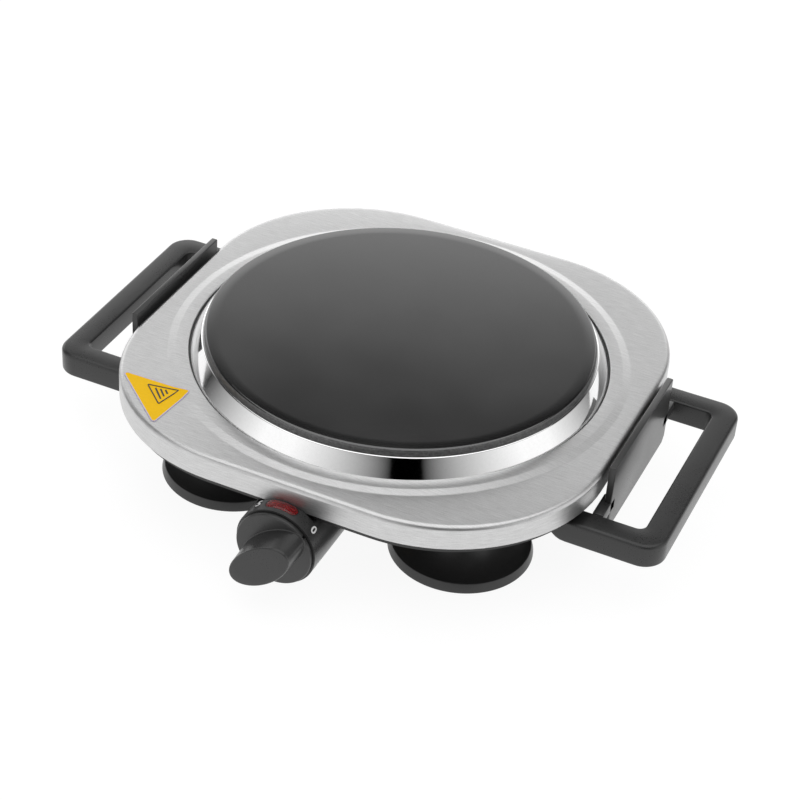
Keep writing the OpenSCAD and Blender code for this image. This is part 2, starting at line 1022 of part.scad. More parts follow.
module push_pin() {
    color("#efe9dc")
    translate([0, 0, knob_z])
        bar_y(pin_r, pin_front, pin_back);
}

module bimetal_strip() {
    color("#8f7a52")
    union() {
        difference() {
            translate([-4, bimetal_y, stack_low])
                cube([8, 0.8, blade_top - stack_low]);
            translate([0, 0, stack_z])
                bar_y(1.5 + slip, bimetal_y - cut, bimetal_y + 2);
        }
        translate([0, 0, knob_z + 2])
            bar_y(1.2, arm_y + arm_t + 0.5, bimetal_y);
    }
}

module stack_screw() {
    color("#b9bbbd")
    translate([0, 0, stack_z]) {
        bar_y(1.5, frame_y - 0.1, bimetal_y + 3.4);
        bar_y(2.7, frame_y - 0.9, frame_y);
        difference() {
            translate([0, bimetal_y + 0.8, 0])
                rotate([-90, 0, 0])
                    cylinder(r = 3.2, h = 2.4, $fn = 6);
            bar_y(1.4, bimetal_y, bimetal_y + 4);
        }
    }
}

// ---------- wiring ----------

module thermal_cutout() {
    color("#b8b6ae")
    translate([22, cutout_y, cutout_z])
        rotate([0, 90, 0]) {
            cylinder(r = 2, h = 12);
            translate([0, 0, -4])
                cylinder(r = 0.6, h = 20);
        }
}

module cutout_clip() {
    color("#c4c6c8")
    translate([25, cutout_y, cutout_z])
        rotate([0, 90, 0])
            difference() {
                cylinder(r = 2.5, h = 5);
                translate([0, 0, -cut])
                    cylinder(r = 2 + slip, h = 6);
            }
}

module terminal_block() {
    color("#e4e1d8")
    difference() {
        translate([-9, block_y - block_half, stack_low + 1])
            cube([18, 2 * block_half, 9]);
        for (i = [-1 : 1]) {
            translate([pole_gap * i, 0, block_z])
                bar_y(1.6, block_y - block_half - 1, block_y + block_half + 1);
            translate([pole_gap * i, block_y, 0])
                disc(1.7, block_z + 1, block_z + 7);
        }
    }
}

module terminal_screws() {
    color("#c9a24a")
    for (i = [-1 : 1])
        translate([pole_gap * i, block_y, 0])
            disc(1.6, block_z + 1.8, block_z + 6.6);
}

module live_wire() {
    under_z = stack_low - 1.3;
    color("#6b3a1e")
    wire([
        [-pole_gap, block_y - 6, block_z], [-pole_gap, -102, block_z], [-5, -105, under_z],
        [-3, -109, under_z], [-2, arm_y + 1.3, under_z],
    ], 0.9);
}

module switched_wire() {
    pin = pin_places()[0];
    color("#b02a22")
    wire([
        [5.5, fixed_y + 0.3, knob_z + 4.4], [7, -112, knob_z + 6], [6, -102, knob_z + 10],
        [3, rise_y - 1.5, knob_z + 12], [3, rise_y - 1.5, loft_z], [pin[0], -60, loft_z],
        [pin[0], pin[1] - 5, loft_z], [pin[0], pin[1], loft_z + 1],
        [pin[0], pin[1], pin_end - wire_r],
    ], wire_r);
}

module neutral_wire() {
    pin = pin_places()[1];
    color("#26458c")
    wire([
        [0, block_y - 6, block_z], [0, -103, block_z], [-4, -104, block_z + 6],
        [-5, -99, block_z + 16], [-3, rise_y - 1.5, knob_z + 12],
        [-3, rise_y - 1.5, loft_z], [pin[0], pin[1] - 6, loft_z],
        [pin[0], pin[1], loft_z + 1], [pin[0], pin[1], pin_end - wire_r],
    ], wire_r);
}

module earth_wire() {
    floor_z = pan_in + 1.2;
    color("#3f8a3a")
    wire([
        [pole_gap, block_y - 6, block_z], [pole_gap, -103, block_z], [7.5, -104, block_z + 6],
        [7, -98, block_z + 14], [0.3, rise_y + 3.5, knob_z + 12],
        [0.3, rise_y + 3.5, floor_z], [6, -75, floor_z], [10.6, earth_y() - 3, floor_z],
    ], 1.1);
}

module earth_screw() {
    color("#c9a24a")
    translate([14, earth_y(), 0]) {
        disc(screw_r, pan_z - 2, pan_in + 5);
        disc(3.4, pan_in, pan_in + 2);
        disc(3, pan_z - 3, pan_z);
    }
}

// ---------- nodes ----------

heating_plate();
heating_element();
element_insulators();
insulating_bed();
element_cover();
centre_stud();
stud_spacer();
clamp_bridge();
clamp_washer();
clamp_nut();
heat_reflector();
trim_ring();
plate_gasket();
top_housing();
housing_posts();
caution_sticker();
base_pan();
base_screws();
left_handle();
right_handle();
left_shield();
right_shield();
handle_screws();
foot_front_left();
foot_front_right();
foot_rear_left();
foot_rear_right();
foot_screws();
foot_nuts();
control_housing();
housing_screws();
rear_cover();
rear_cover_screws();
cord_gland();
pilot_lens();
pilot_lamp();
lamp_holder();
lamp_resistor();
knob();
thermostat_shaft();
thermostat_bush();
bush_nut();
thermostat_frame();
stack_insulators();
fixed_contact();
contact_arm();
arm_terminal();
push_pin();
bimetal_strip();
stack_screw();
thermal_cutout();
cutout_clip();
terminal_block();
terminal_screws();
live_wire();
switched_wire();
neutral_wire();
earth_wire();
earth_screw();
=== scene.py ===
import json
import math

import bmesh
import bpy
from mathutils import Matrix, Vector


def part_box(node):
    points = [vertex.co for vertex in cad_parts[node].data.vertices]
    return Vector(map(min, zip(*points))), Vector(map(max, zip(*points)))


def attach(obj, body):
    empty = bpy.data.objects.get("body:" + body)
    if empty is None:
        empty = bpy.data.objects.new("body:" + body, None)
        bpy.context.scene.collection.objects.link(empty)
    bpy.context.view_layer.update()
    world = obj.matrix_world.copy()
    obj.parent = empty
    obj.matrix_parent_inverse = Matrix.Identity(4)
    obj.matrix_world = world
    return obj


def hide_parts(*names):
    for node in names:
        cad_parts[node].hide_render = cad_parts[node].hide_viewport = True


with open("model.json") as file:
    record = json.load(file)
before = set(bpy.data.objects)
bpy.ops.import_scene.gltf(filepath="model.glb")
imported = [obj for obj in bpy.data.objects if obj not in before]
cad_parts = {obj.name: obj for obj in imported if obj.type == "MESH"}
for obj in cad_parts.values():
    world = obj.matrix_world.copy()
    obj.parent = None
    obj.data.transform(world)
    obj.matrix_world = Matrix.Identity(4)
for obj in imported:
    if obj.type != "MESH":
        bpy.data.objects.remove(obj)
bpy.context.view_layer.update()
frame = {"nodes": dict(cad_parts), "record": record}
MM = 0.001
TAU = 2 * math.pi


# ---------- sizes, in millimetres ----------

def corners(node):
    """Lowest and highest corner of a CAD node, in millimetres."""
    lo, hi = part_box(node)
    return lo / MM, hi / MM


PLATE_LO, PLATE_HI = corners("heating_plate")
RING_LO, RING_HI = corners("trim_ring")
BODY_LO, BODY_HI = corners("top_housing")
STICKER_LO, STICKER_HI = corners("caution_sticker")
HANDLE_LO, HANDLE_HI = corners("right_handle")
SHIELD_LO, SHIELD_HI = corners("right_shield")
POD_LO, POD_HI = corners("control_housing")
KNOB_LO, KNOB_HI = corners("knob")
LENS_LO, LENS_HI = corners("pilot_lens")
SHAFT_LO, SHAFT_HI = corners("thermostat_shaft")

PLATE_R = PLATE_HI.x
PLATE_TOP = PLATE_HI.z
SHOULDER_Z = RING_HI.z
RING_R = RING_HI.x

SHEET = 0.8
EDGE_R = 2.5
CORNER_R = 80.0
COLLAR_R = 110.0
COLLAR_H = 0.9
BODY_TOP = BODY_HI.z - COLLAR_H
UNDER = BODY_TOP - SHEET
SKIRT_Z = BODY_LO.z
HALF_W = BODY_HI.x
HALF_D = BODY_HI.y
OPENING_R = RING_R + 0.3
LEDGE_Z = RING_LO.z - 0.5

# The collar as the photo shows it: a short step, then a nearly flat top.
COLLAR_FOOT = COLLAR_R + 1.5
COLLAR_STEP = COLLAR_R - 2.5
STEP_H = 0.78 * COLLAR_H
CROWN = 0.1

BAR_TOP = HANDLE_LO.z + 12.0
POD_R = (POD_HI.z - POD_LO.z) / 2
KNOB_Z = (SHAFT_LO.z + SHAFT_HI.z) / 2
DIAL_R = (KNOB_HI.x - KNOB_LO.x) / 2
OFF_ANGLE = math.radians(50)


# ---------- flat outlines ----------

def partway(p, q, t):
    """The point at the share t of the way from p to q."""
    return tuple(a * (1 - t) + b * t for a, b in zip(p, q))


def rounded(points, radii, steps=6):
    """A closed flat path with each corner turned into an arc of its own radius."""
    nearly_straight = 1e-3
    out = []
    for i, (p, r) in enumerate(zip(points, radii)):
        if r <= 0:
            out.append(p)
            continue
        here = Vector(p)
        a = Vector(points[i - 1]) - here
        b = Vector(points[(i + 1) % len(points)]) - here
        room = 0.49 * min(a.length, b.length)
        a.normalize()
        b.normalize()
        half = a.angle(b) / 2
        if half > math.pi / 2 - nearly_straight:
            out.append(p)
            continue
        cut = min(r / math.tan(half), room)
        radius = cut * math.tan(half)
        centre = here + (a + b).normalized() * (radius / math.sin(half))
        start = here + a * cut - centre
        end = here + b * cut - centre
        first = math.atan2(start.y, start.x)
        turn = math.atan2(end.y, end.x) - first
        turn = (turn + math.pi) % TAU - math.pi
        for k in range(steps + 1):
            angle = first + turn * k / steps
            out.append((centre.x + radius * math.cos(angle), centre.y + radius * math.sin(angle)))
    return out


def outline(half_x, half_y, r, arc=24, straight=10):
    """Rounded rectangle, anticlockwise from the rear end of its right side."""
    pts = []
    signs = [(1, 1), (-1, 1), (-1, -1), (1, -1)]
    for q, (sx, sy) in enumerate(signs):
        for k in range(arc + 1):
            angle = math.radians(90 * (q + k / arc))
            pts.append((sx * (half_x - r) + r * math.cos(angle), sy * (half_y - r) + r * math.sin(angle)))
        next_x, next_y = signs[(q + 1) % 4]
        last = pts[-1]
        first = (next_x * (half_x - r) + r * math.cos(angle), next_y * (half_y - r) + r * math.sin(angle))
        pts += [partway(last, first, k / straight) for k in range(1, straight)]
    return pts


def dense(ring, cuts):
    """The same closed outline with each side cut into equal parts."""
    return [partway(p, ring[(i + 1) % len(ring)], k / cuts)
            for i, p in enumerate(ring) for k in range(cuts)]


def shrunk(ring, centre, share):
    return [partway(centre, p, share) for p in ring]


def triangle(tips, corner, steps=6):
    """Triangle grown outwards by the corner's radius, which rounds its tips."""
    ring = []
    for i, p in enumerate(tips):
        a = Vector(p) - Vector(tips[i - 1])
        b = Vector(tips[(i + 1) % 3]) - Vector(p)
        first = math.atan2(-a.x, a.y)
        turn = (math.atan2(-b.x, b.y) - first) % TAU
        for k in range(steps + 1):
            angle = first + turn * k / steps
            ring.append((p[0] + corner * math.cos(angle), p[1] + corner * math.sin(angle)))
    return ring


def oval(half_long, half_wide, count=72):
    turns = [TAU * k / count for k in range(count)]
    return [(half_long * math.cos(a), half_wide * math.sin(a)) for a in turns]


def pill(half_long, half_wide, steps=14):
    """A slot's outline, with round ends."""
    pts = []
    for s in (1, -1):
        for k in range(steps + 1):
            a = math.radians(-90 + 180 * k / steps)
            pts.append((s * (half_long - half_wide + half_wide * math.cos(a)), s * half_wide * math.sin(a)))
    return pts


# ---------- meshes ----------

def grid_faces(rows, cols, closed):
    """Quads between rings of points; closed joins the last ring to the first."""
    faces = []
    for i in range(rows if closed else rows - 1):
        for j in range(cols):
            a = i * cols + j
            b = i * cols + (j + 1) % cols
            c = ((i + 1) % rows) * cols + (j + 1) % cols
            d = ((i + 1) % rows) * cols + j
            faces.append((a, b, c, d))
    return faces


class Shape:
    """Points and faces in millimetres, gathered into one mesh."""

    def __init__(self):
        self.bm = bmesh.new()

    def loft(self, rings, loop=False):
        """Skins a row of rings: capped at both ends, or closed on itself as a loop."""
        cols = len(rings[0])
        faces = grid_faces(len(rings), cols, loop)
        if not loop:
            faces.append(tuple(range(cols))[::-1])
            faces.append(tuple(range((len(rings) - 1) * cols, len(rings) * cols)))
        verts = [self.bm.verts.new(Vector(p) * MM) for ring in rings for p in ring]
        for face in faces:
            self.bm.faces.new([verts[i] for i in face])

    def lathe(self, profile, segments, centre=(0, 0, 0), axis="Z"):
        """Turns a closed (radius, height) profile about a line along Z, or along Y."""
        turns = [TAU * k / segments for k in range(segments)]
        rings = []
        for r, h in profile:
            flat = [(r * math.cos(a), r * math.sin(a)) for a in turns]
            if axis == "Z":
                rings.append([(centre[0] + u, centre[1] + v, h) for u, v in flat])
            else:
                rings.append([(centre[0] + u, h, centre[2] + v) for u, v in flat])
        self.loft(rings, loop=True)
        bmesh.ops.remove_doubles(self.bm, verts=self.bm.verts, dist=1e-7)
        bmesh.ops.dissolve_degenerate(self.bm, edges=self.bm.edges, dist=1e-8)

    def prism(self, flat, low, high, place, bevel):
        """Extrudes a flat outline between two heights, through place(u, v, w), and bevels it."""
        sharp_angle = math.radians(25)
        part = bmesh.new()
        n = len(flat)
        verts = [part.verts.new(Vector(place(u, v, w)) * MM) for w in (low, high) for u, v in flat]
        part.faces.new(verts[:n][::-1])
        part.faces.new(verts[n:])
        for i in range(n):
            j = (i + 1) % n
            part.faces.new((verts[i], verts[j], verts[n + j], verts[n + i]))
        bmesh.ops.recalc_face_normals(part, faces=part.faces)
        sharp = [e for e in part.edges if e.calc_face_angle(0) > sharp_angle]
        bmesh.ops.bevel(part, geom=sharp, offset=bevel * MM, segments=3,
                        profile=0.5, affect="EDGES", clamp_overlap=True)
        mesh = bpy.data.meshes.new("part")
        part.to_mesh(mesh)
        part.free()
        self.bm.from_mesh(mesh)
        bpy.data.meshes.remove(mesh)

    def block(self, lo, hi, bevel):
        flat = [(lo[0], lo[1]), (hi[0], lo[1]), (hi[0], hi[1]), (lo[0], hi[1])]
        self.prism(flat, lo[2], hi[2], lambda u, v, w: (u, v, w), bevel)

    def mirror_x(self):
        for v in self.bm.verts:
            v.co.x = -v.co.x

    def finish(self, name, material, slot, body="base", sharp=40):
        """Makes the piece: smooth, with edges above the sharp angle kept crisp."""
        bmesh.ops.recalc_face_normals(self.bm, faces=self.bm.faces)
        mesh = bpy.data.meshes.new(name)
        self.bm.to_mesh(mesh)
        self.bm.free()
        mesh.shade_smooth()
        mesh.set_sharp_from_angle(angle=math.radians(sharp))
        piece = bpy.data.objects.new(name, mesh)
        bpy.context.scene.collection.objects.link(piece)
        mesh.materials.append(MATS[material])
        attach(piece, body)
        return piece


# ---------- materials ----------

class Nodes:
    """Short way to write a node tree."""

    def __init__(self, tree):
        self.tree = tree

    def put(self, value, socket):
        """Links a socket, or sets a plain value on the socket itself."""
        if isinstance(value, bpy.types.NodeSocket):
            self.tree.links.new(value, socket)
        else:
            socket.default_value = value

    def new(self, kind, inputs=None, **settings):
        node = self.tree.nodes.new(kind)
        for key, value in settings.items():
            setattr(node, key, value)
        for key, value in (inputs or {}).items():
            self.put(value, node.inputs[key])
        return node

    def noise(self, vector, scale, detail=3.0, rough=0.55):
        node = self.new("ShaderNodeTexNoise", {"Vector": vector, "Scale": scale,
                                               "Detail": detail, "Roughness": rough})
        return node.outputs["Fac"]

    def stretch(self, vector, scale):
        node = self.new("ShaderNodeMapping", {"Vector": vector, "Scale": scale})
        return node.outputs["Vector"]

    def spread(self, value, low, high, start=0.3, end=0.7):
        """Maps start..end to low..high, and holds the ends."""
        node = self.new("ShaderNodeMapRange", {"Value": value, "From Min": start,
                                               "From Max": end, "To Min": low, "To Max": high})
        return node.outputs["Result"]

    def math(self, kind, a, b=0.0):
        return self.new("ShaderNodeMath", {0: a, 1: b}, operation=kind).outputs[0]

    def weigh(self, *terms):
        """Sum of values, each times its own weight."""
        parts = [self.math("MULTIPLY", value, weight) for value, weight in terms]
        total = parts[0]
        for part in parts[1:]:
            total = self.math("ADD", total, part)
        return total

    def mix_colour(self, share, a, b):
        return self.new("ShaderNodeMix", {0: share, 6: a, 7: b}, data_type="RGBA").outputs[2]

    def mix_value(self, share, a, b):
        return self.new("ShaderNodeMix", {0: share, 2: a, 3: b}, data_type="FLOAT").outputs[0]


class Paint(Nodes):
    """A new material, with its shader's inputs set by name."""

    def __init__(self, name):
        self.mat = bpy.data.materials.new(name)
        self.mat.use_nodes = True
        super().__init__(self.mat.node_tree)
        self.shader = self.tree.nodes["Principled BSDF"]

    def where(self, kind="Object"):
        return self.new("ShaderNodeTexCoord").outputs[kind]

    def set(self, **values):
        for key, value in values.items():
            self.put(value, self.shader.inputs[key.replace("_", " ")])

    def bump(self, height, strength, distance):
        node = self.new("ShaderNodeBump", {"Strength": strength, "Distance": distance,
                                           "Height": height})
        self.put(node.outputs["Normal"], self.shader.inputs["Normal"])


def grey(value):
    return (value, value, value, 1)


def shade(colour, factor):
    return tuple(min(1.0, c * factor) for c in colour[:3]) + (1,)


def surface(name, colour, metallic, rough, grain, bump, vary, rough_vary,
            cloud=35.0, specular=0.5, painted_edge_highlight=0.0):
    """Fine grain over slow clouding, in tone, roughness and bump; sharp edges get a painted highlight,
    paled by their pointiness.
    """
    p = Paint(name)
    where = p.where()
    fine = p.noise(where, grain, 4.0)
    slow = p.noise(where, cloud)
    both = p.weigh((fine, 0.55), (slow, 0.45))
    tone = p.mix_colour(p.spread(both, 0.0, 1.0), shade(colour, 1 - vary), shade(colour, 1 + vary))
    if painted_edge_highlight:
        # Painted highlight: edges with high pointiness are paled towards 2.4 times the colour.
        pointed = p.new("ShaderNodeNewGeometry").outputs["Pointiness"]
        tone = p.mix_colour(p.spread(pointed, 0.0, painted_edge_highlight, 0.505, 0.56), tone, shade(colour, 2.4))
    p.set(Base_Color=tone, Roughness=p.spread(both, rough - rough_vary, rough + rough_vary),
          Metallic=metallic, Specular_IOR_Level=specular)
    p.bump(fine, bump, 0.0001)
    return p.mat


def brushed(name, colour, rough, along, bump, vary, coords="Object"):
    """Brushed metal: hair lines run along the axis with the small scale."""
    p = Paint(name)
    where = p.where(coords)
    hair = p.noise(p.stretch(where, along), 1.0, 4.0, 0.65)
    wide = p.noise(p.stretch(where, tuple(a * 0.4 for a in along)), 1.0, 2.0, 0.5)
    grain = p.noise(where, 1500.0, 2.0)
    cloud = p.noise(where, 18.0, 2.0)
    lines = p.weigh((hair, 0.62), (wide, 0.14), (grain, 0.24))
    light, dark = shade(colour, 1 + vary * 0.6), shade(colour, 1 - vary)
    mixed = p.weigh((lines, 0.7), (cloud, 0.3))
    p.set(Base_Color=p.mix_colour(p.spread(lines, 0.0, 1.0, 0.34, 0.66), dark, light),
          Roughness=p.spread(mixed, rough - 0.03, rough + 0.03), Metallic=1.0, Anisotropic=0.35)
    p.bump(lines, bump, 0.00005)
    return p.mat


def woven(name, colour):
    """Braided sleeve of a wire."""
    p = Paint(name)
    where = p.where()
    braid = p.new("ShaderNodeTexWave", {"Vector": where, "Scale": 900.0, "Distortion": 0.6},
                  wave_type="BANDS", bands_direction="DIAGONAL").outputs["Fac"]
    fuzz = p.noise(where, 2200.0, 2.0)
    both = p.weigh((braid, 0.6), (fuzz, 0.4))
    p.set(Base_Color=p.mix_colour(p.spread(both, 0.0, 1.0), shade(colour, 0.65), shade(colour, 1.25)),
          Roughness=p.spread(fuzz, 0.6, 0.8))
    p.bump(both, 0.4, 0.0002)
    return p.mat


def plate_material():
    """Blackened cast iron: a smooth top, and a paler grainy rim below its edge."""
    p = Paint("cast_iron_plate")
    where = p.where()
    x, y, z = p.new("ShaderNodeSeparateXYZ", {"Vector": where}).outputs
    radius = p.math("SQRT", p.math("ADD", p.math("MULTIPLY", x, x), p.math("MULTIPLY", y, y)))
    fine = p.noise(where, 1600.0, 4.0, 0.6)
    mottle = p.noise(where, 700.0)
    slow = p.noise(where, 14.0, 2.0)
    edge = p.spread(radius, 0.0, 1.0, (PLATE_R - 1.1) * MM, (PLATE_R - 0.5) * MM)
    below = p.spread(z, 1.0, 0.0, (PLATE_TOP - 0.7) * MM, (PLATE_TOP - 0.15) * MM)
    side = p.math("MAXIMUM", p.math("MULTIPLY", edge, below), p.math("MULTIPLY", below, below))
    top = p.mix_colour(p.spread(p.weigh((fine, 0.6), (slow, 0.4)), 0.0, 1.0), grey(0.12), grey(0.14))
    rim = p.mix_colour(p.spread(p.weigh((fine, 0.5), (mottle, 0.5)), 0.0, 1.0, 0.38, 0.62),
                       grey(0.10), grey(0.20))
    p.set(Base_Color=p.mix_colour(side, top, rim), Metallic=1.0,
          Roughness=p.mix_value(side, p.spread(slow, 0.13, 0.17), p.spread(mottle, 0.42, 0.58)))
    grain = p.math("MULTIPLY", fine, p.spread(side, 0.12, 1.0, 0.0, 1.0))
    pits = p.math("MULTIPLY", p.math("MULTIPLY", mottle, side), 0.7)
    p.bump(p.math("ADD", grain, pits), 0.3, 0.00015)
    return p.mat


def lens_material():
    p = Paint("red_lens")
    cloud = p.noise(p.where(), 160.0, 2.0)
    red = p.mix_colour(p.spread(cloud, 0.0, 1.0), (0.66, 0.010, 0.016, 1), (0.80, 0.02, 0.03, 1))
    p.set(Base_Color=red, Roughness=p.spread(cloud, 0.08, 0.16), Transmission_Weight=0.88, IOR=1.49)
    p.bump(cloud, 0.08, 0.0001)
    return p.mat


# After name and colour: metallic, roughness, grain scale, bump, tone spread, roughness spread.
MATS = {
    "chrome": surface("chrome", grey(0.90), 1.0, 0.06, 700.0, 0.01, 0.03, 0.02, cloud=22.0),
    "body": brushed("brushed_steel", grey(0.63), 0.36, along=(140, 2000, 1), bump=0.10, vary=0.20,
                    coords="UV"),
    "pan": surface("enamel", grey(0.018), 0.0, 0.34, 500.0, 0.08, 0.2, 0.05),
    # Plastic, knob and rubber carry a painted highlight on their sharp edges.
    "plastic": surface("moulded_plastic", grey(0.022), 0.0, 0.30, 1500.0, 0.10, 0.18, 0.05, painted_edge_highlight=0.5),
    "knob": surface("knob_plastic", grey(0.026), 0.0, 0.30, 1500.0, 0.10, 0.16, 0.05, painted_edge_highlight=0.6),
    "rubber": surface("foot_rubber", grey(0.030), 0.0, 0.34, 1200.0, 0.10, 0.2, 0.06, painted_edge_highlight=0.5),
    "steel": surface("zinc_plate", grey(0.58), 1.0, 0.32, 900.0, 0.08, 0.12, 0.07),
    "sheath": surface("heat_dark_steel", (0.16, 0.13, 0.11, 1), 0.8, 0.5, 500.0, 0.2, 0.3, 0.08),
    "reflector": brushed("aluminised_sheet", grey(0.72), 0.36, along=(60, 1800, 1800), bump=0.12,
                         vary=0.16),
    "ceramic": surface("steatite", (0.82, 0.78, 0.70, 1), 0.0, 0.62, 900.0, 0.2, 0.07, 0.06),
    "fibre": surface("mineral_fibre", (0.58, 0.54, 0.46, 1), 0.0, 0.9, 420.0, 0.6, 0.22, 0.05),
    "glass": surface("lamp_glass", (0.92, 0.70, 0.55, 1), 0.0, 0.08, 300.0, 0.02, 0.05, 0.03),
    "cream": surface("cream_moulding", (0.70, 0.67, 0.60, 1), 0.0, 0.5, 900.0, 0.1, 0.08, 0.05),
    "brass": surface("turned_brass", (0.72, 0.50, 0.20, 1), 1.0, 0.28, 700.0, 0.08, 0.12, 0.06),
    "bronze": surface("spring_bronze", (0.58, 0.32, 0.16, 1), 1.0, 0.32, 700.0, 0.08, 0.14, 0.06),
    "bimetal": surface("bimetal_strip", (0.44, 0.38, 0.26, 1), 1.0, 0.38, 700.0, 0.08, 0.14, 0.06),
    "cutout": surface("drawn_case", (0.48, 0.47, 0.43, 1), 1.0, 0.36, 700.0, 0.06, 0.12, 0.06),
    "brown": woven("brown_sleeve", (0.18, 0.07, 0.03, 1)),
    "red": woven("red_sleeve", (0.42, 0.03, 0.02, 1)),
    "blue": woven("blue_sleeve", (0.03, 0.08, 0.32, 1)),
    "green": woven("green_sleeve", (0.10, 0.30, 0.05, 1)),
    "film": surface("sticker_yellow", (0.95, 0.56, 0.0, 1), 0.0, 0.45, 900.0, 0.03, 0.05, 0.04,
                    specular=0.12),
    "film_edge": surface("sticker_border", (0.55, 0.50, 0.68, 1), 0.0, 0.35, 900.0, 0.03, 0.08, 0.04),
    "ink": surface("sticker_ink", (0.03, 0.025, 0.02, 1), 0.0, 0.45, 900.0, 0.05, 0.2, 0.05),
    "white": surface("white_paint", grey(0.86), 0.0, 0.45, 900.0, 0.05, 0.06, 0.05),
    "tray": surface("lens_tray", (0.14, 0.006, 0.008, 1), 0.0, 0.4, 600.0, 0.05, 0.2, 0.06),
    "tray_rib": surface("lens_rib", (0.95, 0.30, 0.30, 1), 0.0, 0.35, 600.0, 0.05, 0.1, 0.05),
    # Near-black: the lens's dark rim, and the painted shade in the ring's gap.
    "rim_and_gap_shade": surface("lens_rim_and_gap_shade", grey(0.014), 0.0, 0.4, 800.0, 0.05, 0.2, 0.05),
    "plate": plate_material(),
    "lens": lens_material(),
}

SLOT_MATERIALS = {
    "cast_iron": "plate", "chrome_trim": "chrome", "brushed_body": "body", "black_pan": "pan",
    "black_plastic": "plastic", "black_rubber": "rubber", "plated_steel": "steel",
    "element_sheath": "sheath", "aluminised_steel": "reflector", "white_ceramic": "ceramic",
    "fibre_board": "fibre", "warning_yellow": "film", "red_lens": "lens", "clear_glass": "glass",
    "cream_plastic": "cream", "brass": "brass", "contact_bronze": "bronze",
    "bimetal": "bimetal", "cutout_body": "cutout", "brown_wire": "brown", "red_wire": "red",
    "blue_wire": "blue", "green_wire": "green",
}

for entry in frame["record"]["subparts"]:
    node = frame["nodes"][entry["node"]]
    node.data.materials.clear()
    node.data.materials.append(MATS[SLOT_MATERIALS[entry["material_slot"]]])


# ---------- cast-iron plate ----------

def make_plate():
    """Turned casting: a flat top on a web, a wall round it and a shoulder for the ring."""
    low = PLATE_LO.z
    thick = 6
    web = PLATE_TOP - thick
    wall_in = PLATE_R - thick
    wall_out = PLATE_R - 1.2
    edge_r, shoulder_r, foot_r, web_r = 1.3, 0.25, 0.5, 1.0
    profile = rounded(
        [(0, web), (0, PLATE_TOP), (PLATE_R, PLATE_TOP), (PLATE_R, SHOULDER_Z),
         (wall_out, SHOULDER_Z), (wall_out, low), (wall_in, low), (wall_in, web)],
        [0, 0, edge_r, shoulder_r, 0, foot_r, foot_r, web_r])
    spot = profile.index((0, PLATE_TOP)) + 1
    profile[spot:spot] = [(PLATE_R * share, PLATE_TOP) for share in (0.25, 0.5, 0.75, 0.93)]
    shape = Shape()
    shape.lathe(profile, segments=224)
    piece = shape.finish("plate_casting", "plate", "cast_iron", sharp=30)
    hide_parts("heating_plate")


# ---------- trim ring ----------

def make_ring():
    """Polished cone from under the plate's edge to a rolled foot on the body's ledge."""
    thick = 0.7
    hem = 0.9
    lip_in, lip_out = PLATE_R - 1.1, PLATE_R + 1.2
    lip_low = SHOULDER_Z - thick
    base = RING_LO.z
    foot_in = RING_R - 3.7
    profile = rounded(
        [(lip_in, lip_low), (lip_in, SHOULDER_Z), (lip_out, SHOULDER_Z),
         (RING_R, base + hem), (RING_R, base), (foot_in, base),
         (foot_in, base + thick), (RING_R - hem, base + thick), (lip_out - 0.5, lip_low)],
        [0.1, 0.1, 0.9, 0.5, 0.15, 0.1, 0.1, 0.4, 0.4], 7)
    shape = Shape()
    shape.lathe(profile, segments=256)
    piece = shape.finish("ring_pressing", "chrome", "chrome_trim")
    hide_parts("trim_ring")


def make_ring_seal():
    """Dark bead low in the gap between the ring and the body: painted shade, standing in for the shadow in
    that gap.
    """
    inner, outer = RING_R - 1.1, OPENING_R - 0.02
    low = LEDGE_Z + 0.6
    bead = rounded([(inner, low), (inner, BODY_TOP + 0.05), (outer, BODY_TOP - 0.1), (outer, low)],
                   [0, 0.3, 0.2, 0], 4)
    shape = Shape()
    shape.lathe(bead, segments=256)
    # The near-black bead paints the gap's shadow; it is no real part.
    shape.finish("ring_gap_shade", "rim_and_gap_shade", "chrome_trim")


# ---------- steel body ----------

BASE_OUTLINE = outline(HALF_W, HALF_D, CORNER_R)
ANGLES = [math.atan2(y, x) for x, y in BASE_OUTLINE]


def rect_ring(inset, z):
    pts = outline(HALF_W - inset, HALF_D - inset, CORNER_R - inset)
    return [(x, y, z) for x, y in pts]


def circle_ring(radius, z):
    return [(radius * math.cos(a), radius * math.sin(a), z) for a in ANGLES]


def between(ring, other, t):
    return [partway(p, q, t) for p, q in zip(ring, other)]


def collar_profile():
    """Radius and height from the flat top, over the raised collar, down to the ledge and back."""
    start = COLLAR_FOOT + 2
    ledge_in = OPENING_R - 5
    lip = OPENING_R + SHEET
    crease_r = 6
    return rounded(
        [(start, BODY_TOP), (COLLAR_FOOT, BODY_TOP), (COLLAR_STEP, BODY_TOP + STEP_H),
         (OPENING_R, BODY_TOP + COLLAR_H), (OPENING_R, LEDGE_Z), (ledge_in, LEDGE_Z),
         (ledge_in, LEDGE_Z - SHEET), (lip, LEDGE_Z - SHEET),
         (lip, BODY_TOP + COLLAR_H - SHEET), (COLLAR_STEP, UNDER + STEP_H), (COLLAR_FOOT, UNDER),
         (start, UNDER)],
        [0, crease_r, crease_r, 0.5, 0.5, 0.1, 0.1, 0.8, 0.3, crease_r, crease_r, 0])


